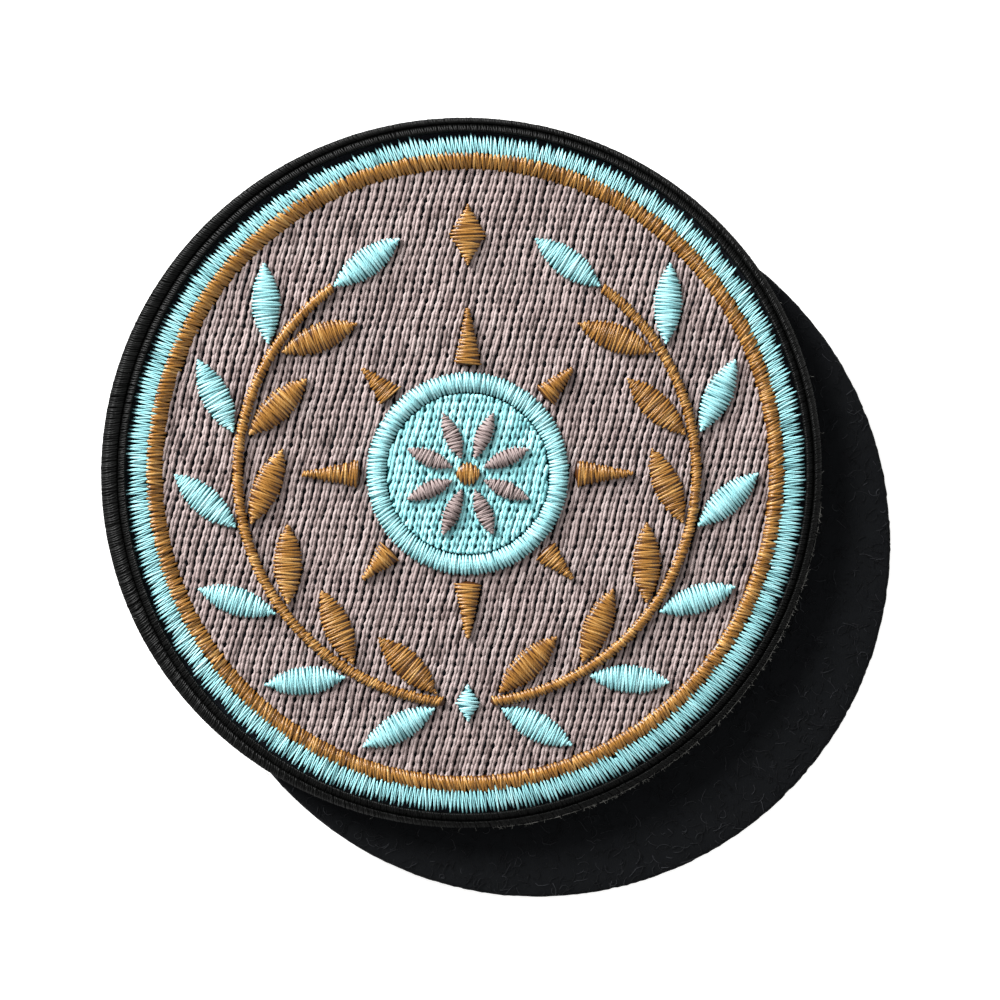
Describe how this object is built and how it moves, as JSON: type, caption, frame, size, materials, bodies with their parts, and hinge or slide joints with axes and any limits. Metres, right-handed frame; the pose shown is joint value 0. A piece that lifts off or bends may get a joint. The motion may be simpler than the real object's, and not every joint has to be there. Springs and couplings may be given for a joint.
{
  "type": "hook-and-loop patch",
  "caption": "Round embroidered patch with a merrowed border and a hook back, stuck off-centre on its own fuzzy loop disc.",
  "frame": {"origin": "centre of the loop disc's flat back, on the surface that it lies on", "axes": "+Z out of the patch's embroidered face, +Y towards the top of its design"},
  "size_m": [0.0885, 0.0883, 0.0054],
  "materials": {
    "loop_ground": "matt black knitted nylon ground",
    "loop_pile": "soft matt black brushed nylon loops",
    "hooks": "black moulded nylon hooks",
    "hook_tape": "matt black woven nylon tape",
    "twill": "dark twill cloth",
    "taupe_thread": "lustrous taupe embroidery thread",
    "copper_thread": "lustrous copper embroidery thread",
    "cyan_thread": "lustrous cyan embroidery thread",
    "border_thread": "satin black overlock thread"
  },
  "bodies": {
    "root": {"loop_ground": "loop_ground", "loop_pile": "loop_pile", "hook_field": "hooks", "hook_tape": "hook_tape", "twill_base": "twill", "ground_fill": "taupe_thread", "copper_ring": "copper_thread", "cyan_ring": "cyan_thread", "merrowed_border": "border_thread", "sun_disc": "cyan_thread", "sun_rim": "cyan_thread", "sun_button": "copper_thread", "sun_ray_1": "copper_thread", "sun_ray_2": "copper_thread", "sun_ray_3": "copper_thread", "sun_ray_4": "copper_thread", "sun_ray_5": "copper_thread", "sun_ray_6": "copper_thread", "sun_ray_7": "copper_thread", "sun_ray_8": "copper_thread", "sun_petal_1": "taupe_thread", "sun_petal_2": "taupe_thread", "sun_petal_3": "taupe_thread", "sun_petal_4": "taupe_thread", "sun_petal_5": "taupe_thread", "sun_petal_6": "taupe_thread", "sun_petal_7": "taupe_thread", "sun_petal_8": "taupe_thread", "stem_right": "copper_thread", "stem_left": "copper_thread", "leaf_right_tip": "cyan_thread", "leaf_left_tip": "cyan_thread", "leaf_right_outer_1": "cyan_thread", "leaf_right_outer_2": "cyan_thread", "leaf_right_outer_3": "cyan_thread", "leaf_right_outer_4": "cyan_thread", "leaf_right_outer_5": "cyan_thread", "leaf_right_outer_6": "cyan_thread", "leaf_right_inner_1": "copper_thread", "leaf_right_inner_2": "copper_thread", "leaf_right_inner_3": "copper_thread", "leaf_right_inner_4": "copper_thread", "leaf_right_inner_5": "copper_thread", "leaf_right_inner_6": "copper_thread", "leaf_left_outer_1": "cyan_thread", "leaf_left_outer_2": "cyan_thread", "leaf_left_outer_3": "cyan_thread", "leaf_left_outer_4": "cyan_thread", "leaf_left_outer_5": "cyan_thread", "leaf_left_outer_6": "cyan_thread", "leaf_left_inner_1": "copper_thread", "leaf_left_inner_2": "copper_thread", "leaf_left_inner_3": "copper_thread", "leaf_left_inner_4": "copper_thread", "leaf_left_inner_5": "copper_thread", "leaf_left_inner_6": "copper_thread", "lozenge_top": "copper_thread", "lozenge_foot": "cyan_thread"}
  },
  "joints": []
}
